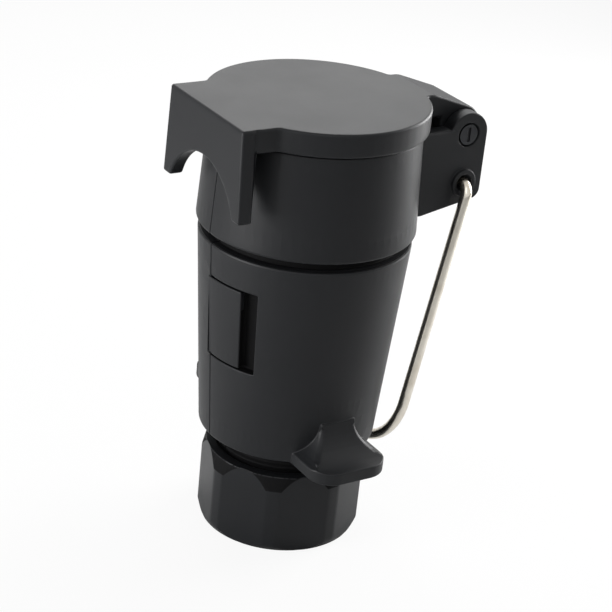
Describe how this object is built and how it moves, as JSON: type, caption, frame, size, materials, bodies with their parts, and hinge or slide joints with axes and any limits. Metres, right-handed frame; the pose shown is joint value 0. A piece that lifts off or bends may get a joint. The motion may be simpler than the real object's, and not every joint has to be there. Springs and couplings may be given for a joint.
{
  "type": "trailer wiring connector",
  "caption": "Inline trailer wiring socket with a sprung hook lid on a hinge, a wire bail, a two-part snap shell and a screwed cable gland.",
  "frame": {"origin": "centre of the cable hole in the gland nut's bottom face", "axes": "+Z along the body from the cable end to the lid; +X towards the lid hinge; the shell halves meet at the XZ plane"},
  "size_m": [0.0843, 0.077, 0.1313],
  "materials": {
    "black_plastic": "fine moulded texture",
    "grey_plastic": "matt",
    "black_rubber": "matt",
    "steel": "drawn wire, satin",
    "brass": "plain"
  },
  "bodies": {
    "shell": {"shell_near": "black_plastic", "shell_far": "black_plastic", "hinge_pin": "steel", "hinge_clip": "steel", "lid_spring": "steel", "grommet": "black_rubber", "contact_carrier": "grey_plastic", "carrier_seal": "black_rubber", "contact_lock_plate": "grey_plastic", "wire_seal": "black_rubber", "seal_retainer": "grey_plastic", "carrier_screws": "steel", "contact_1": "brass", "contact_2": "brass", "contact_3": "brass", "contact_4": "brass", "contact_5": "brass", "contact_6": "brass", "contact_7": "brass", "contact_8": "brass", "contact_9": "brass", "contact_10": "brass", "contact_11": "brass", "contact_12": "brass", "contact_13": "brass", "contact_14": "brass", "contact_15": "brass"},
    "lid": {"lid": "black_plastic", "lid_gasket": "black_rubber"},
    "bail": {"bail": "steel"},
    "gland_washer": {"thrust_washer": "grey_plastic"},
    "gland_nut": {"gland_nut": "black_plastic"}
  },
  "joints": [
    {"name": "lid_hinge", "type": "hinge", "parent": "shell", "child": "lid", "pos_m": [0.0421, 0, 0.12015], "axis": [0, 1, 0], "range_deg": [0, 110], "stiffness_Nm_per_rad": 0.04, "springref_deg": -28.65, "deforming": ["lid_spring"]},
    {"name": "bail_swing", "type": "hinge", "parent": "shell", "child": "bail", "pos_m": [0.042, 0, 0.106], "axis": [0, -1, 0], "range_deg": [0, 125]},
    {"name": "gland_travel", "type": "slide", "parent": "shell", "child": "gland_washer", "axis": [0, 0, 1], "range_m": [-0.009, 0]},
    {"name": "gland_turn", "type": "hinge", "parent": "gland_washer", "child": "gland_nut", "pos_m": [0, 0, 0], "axis": [0, 0, 1], "range_deg": [-1080, 0]}
  ],
  "couplings": [
    {"joint": "gland_turn", "follows": "gland_travel", "rad_per_m": 2094.4}
  ]
}
